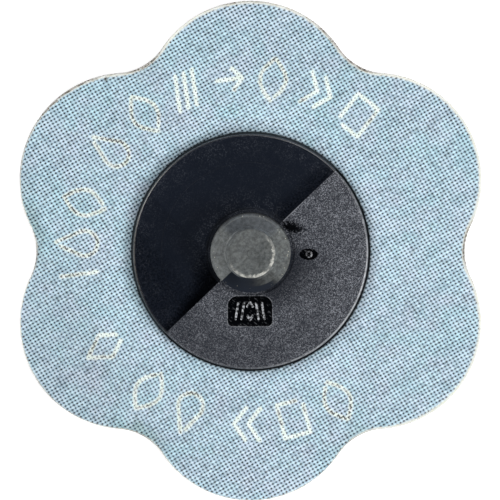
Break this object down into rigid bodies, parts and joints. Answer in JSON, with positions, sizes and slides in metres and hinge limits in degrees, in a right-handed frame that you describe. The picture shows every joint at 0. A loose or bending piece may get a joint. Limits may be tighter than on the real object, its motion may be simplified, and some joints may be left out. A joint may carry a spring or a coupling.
{
  "type": "quick-change abrasive disc",
  "caption": "Flexible six-lobed woven-cloth abrasive disc with a bonded moulded plastic hub whose threaded stud screws into a quick-change holder.",
  "frame": {"origin": "on the stud's axis, in the plane of the flange's seating face", "axes": "+Z along the stud, away from the abrasive; +X towards the valley between two lobes; the lobe tips lie at 30 degrees from +X and every 60 degrees on"},
  "size_m": [0.0554, 0.06, 0.0089],
  "materials": {
    "hub_plastic": "satin",
    "bond_film": "gloss",
    "back_finish": "matte",
    "cloth": "matte",
    "fill_resin": "matte",
    "bond_resin": "satin",
    "grain": "matte",
    "size_resin": "satin"
  },
  "bodies": {
    "root": {"threaded_hub": "hub_plastic", "hub_bond_film": "bond_film", "back_finish_coat": "back_finish", "cloth_backing": "cloth", "front_fill_coat": "fill_resin", "make_coat": "bond_resin", "abrasive_grain": "grain", "size_coat": "size_resin"}
  },
  "joints": []
}
